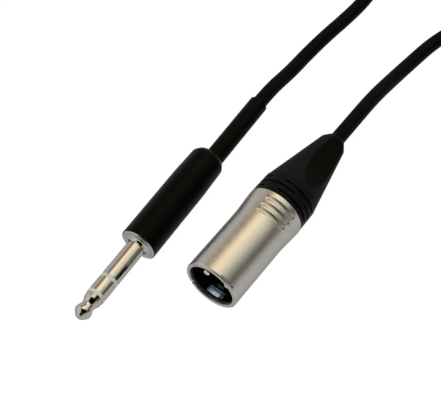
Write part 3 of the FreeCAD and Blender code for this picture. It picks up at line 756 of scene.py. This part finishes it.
def make_world():
    """White where it is seen, and a dimmer grey where it only lights."""
    world = bpy.data.worlds.new("studio")
    world.use_nodes = True
    tree = world.node_tree
    background = tree.nodes["Background"]
    background.inputs["Color"].default_value = white
    level = spread(tree, seen_directly(tree), world_light, 1.0, 0.0, 1.0)
    tree.links.new(level, background.inputs["Strength"])
    scene.world = world


# What the plugs mirror, by clock angle: behind the front of the plugs, and ahead of it. The two
# are blended where the direction's share along the plugs' axis lies between back_shares.
clock_limit = 120.0
brightest = 3.0
rear_stops = [
    (-120, (0.95, 0.96, 0.94)),
    (-66, (1.02, 1.02, 0.98)),
    (-56, (0.70, 0.62, 0.52)),
    (-46, (0.56, 0.42, 0.28)),
    (-36, (0.66, 0.47, 0.30)),
    (-27, (1.70, 1.30, 0.86)),
    (-17, (2.75, 2.22, 1.52)),
    (-3, (2.55, 2.18, 1.56)),
    (9, (2.05, 1.86, 1.38)),
    (20, (1.75, 1.70, 1.36)),
    (32, (1.62, 1.61, 1.34)),
    (43, (1.22, 1.20, 1.02)),
    (52, (0.64, 0.60, 0.50)),
    (60, (0.17, 0.15, 0.11)),
    (70, (0.14, 0.13, 0.10)),
    (79, (0.38, 0.36, 0.32)),
    (89, (0.70, 0.69, 0.65)),
]
front_stops = [
    (-120, (0.95, 0.96, 0.95)),
    (-75, (1.10, 1.12, 1.04)),
    (-58, (1.42, 1.46, 1.24)),
    (-36, (1.22, 1.26, 1.08)),
    (-14, (1.0, 1.0, 0.95)),
    (60, (0.80, 0.76, 0.66)),
    (100, (0.92, 0.88, 0.80)),
]
back_shares = (0.06, 0.26)

# Dark discs on the wall: direction, and the angles at which each starts and ends to fade
dark_discs = [((0.34, -0.50, 0.80), 35, 41), ((0.62, 0.02, 0.78), 18, 24)]
disc_level = 0.004

wall_radius = 1200.0
wall_sides = 48
wall_rings = 12


def clock_ramp(tree, clock, stops):
    """Colour that runs between (clock, colour) stops, kept as a share of brightest."""
    limit = math.radians(clock_limit)
    share = spread(tree, clock, 0.0, 1.0, -limit, limit)
    return ramp(tree, share, [((angle + clock_limit) / (2 * clock_limit),
                               [part / brightest for part in colour]) for angle, colour in stops])


def dark_disc(tree, direction, towards, inner, outer):
    """0 within an angle of a direction, 1 beyond a larger one."""
    dot = tree.nodes.new("ShaderNodeVectorMath")
    dot.operation = "DOT_PRODUCT"
    dot.inputs[1].default_value = np.array(towards) / np.linalg.norm(towards)
    tree.links.new(direction, dot.inputs[0])
    return spread(tree, dot.outputs["Value"], 1.0, 0.0,
                  math.cos(math.radians(outer)), math.cos(math.radians(inner)))


def half_dome():
    """Rings of a half sphere on the floor, by azimuth and rise, closed at the top in one point."""
    azimuth = np.linspace(0, 2 * math.pi, wall_sides, endpoint=False)
    height = np.linspace(0, math.pi / 2, wall_rings + 1)[:-1]
    turn, rise = np.meshgrid(azimuth, height)
    rings = np.stack([wall_radius * np.cos(rise) * np.cos(turn),
                      wall_radius * np.cos(rise) * np.sin(turn),
                      wall_radius * np.sin(rise) + floor], axis=-1).reshape(-1, 3)
    last_ring = np.arange(len(rings) - wall_sides, len(rings))
    return mesh_object("studio_wall", np.vstack([rings, [0, 0, wall_radius + floor]]),
                       grid_faces(wall_rings, wall_sides, closed=False),
                       pole_faces(last_ring[::-1], len(rings)))


def make_studio_wall():
    """Half round studio wall that only metal and gloss see. Its colour goes by the direction from
    the plugs: by clock angle, with two dark discs ahead and above, where the camera stands."""
    thing = half_dome()
    tree, surface = stage_material(thing, "studio_wall")
    normalize = tree.nodes.new("ShaderNodeVectorMath")
    normalize.operation = "NORMALIZE"
    tree.links.new(own_place(tree), normalize.inputs[0])
    direction = normalize.outputs[0]
    share = split(tree, direction)
    clock = arithmetic(tree, "ARCTAN2", share["X"], share["Z"])
    back_share = spread(tree, share["Y"], 0.0, 1.0, *back_shares)
    colour = blend(tree, back_share, clock_ramp(tree, clock, front_stops),
                   clock_ramp(tree, clock, rear_stops), "RGBA")
    discs = arithmetic(tree, "MULTIPLY", *[dark_disc(tree, direction, *disc) for disc in dark_discs])
    strength = spread(tree, discs, disc_level * brightest, brightest, 0.0, 1.0)
    tree.links.new(glowing(tree, colour, strength), surface)
    thing.visible_camera = False
    thing.visible_diffuse = False
    thing.visible_transmission = False
    thing.visible_shadow = False
    thing.visible_volume_scatter = False


def toward(clock, distance, y):
    """Point at a clock angle and distance from the plugs' axis, in metres."""
    turn = math.radians(clock)
    return np.array([distance * math.sin(turn), y, distance * math.cos(turn)])


def lamp(name, clock, distance, y, width, length, colour, radiance):
    """Soft rectangular lamp that faces the plugs' axis from a clock angle, in metres. Metal and
    gloss see the studio wall in its place."""
    data = bpy.data.lights.new(name, "AREA")
    data.shape = "RECTANGLE"
    data.size = width
    data.size_y = length
    data.color = colour
    data.energy = radiance * math.pi * width * length
    thing = bpy.data.objects.new(name, data)
    back = toward(clock, 1.0, 0.0)
    along = np.array([0.0, 1.0, 0.0])
    matrix = np.eye(4)
    matrix[:3, :3] = np.column_stack([np.cross(along, back), along, back])
    matrix[:3, 3] = toward(clock, distance, y)
    thing.matrix_world = matrix.T.tolist()
    thing.visible_glossy = False
    scene.collection.objects.link(thing)


make_floor()
make_world()
lamp("overhead_lamp", clock=-6.0, distance=0.9, y=0.5, width=0.50, length=2.2,
     colour=(1.0, 0.93, 0.84), radiance=2.0)
make_studio_wall()
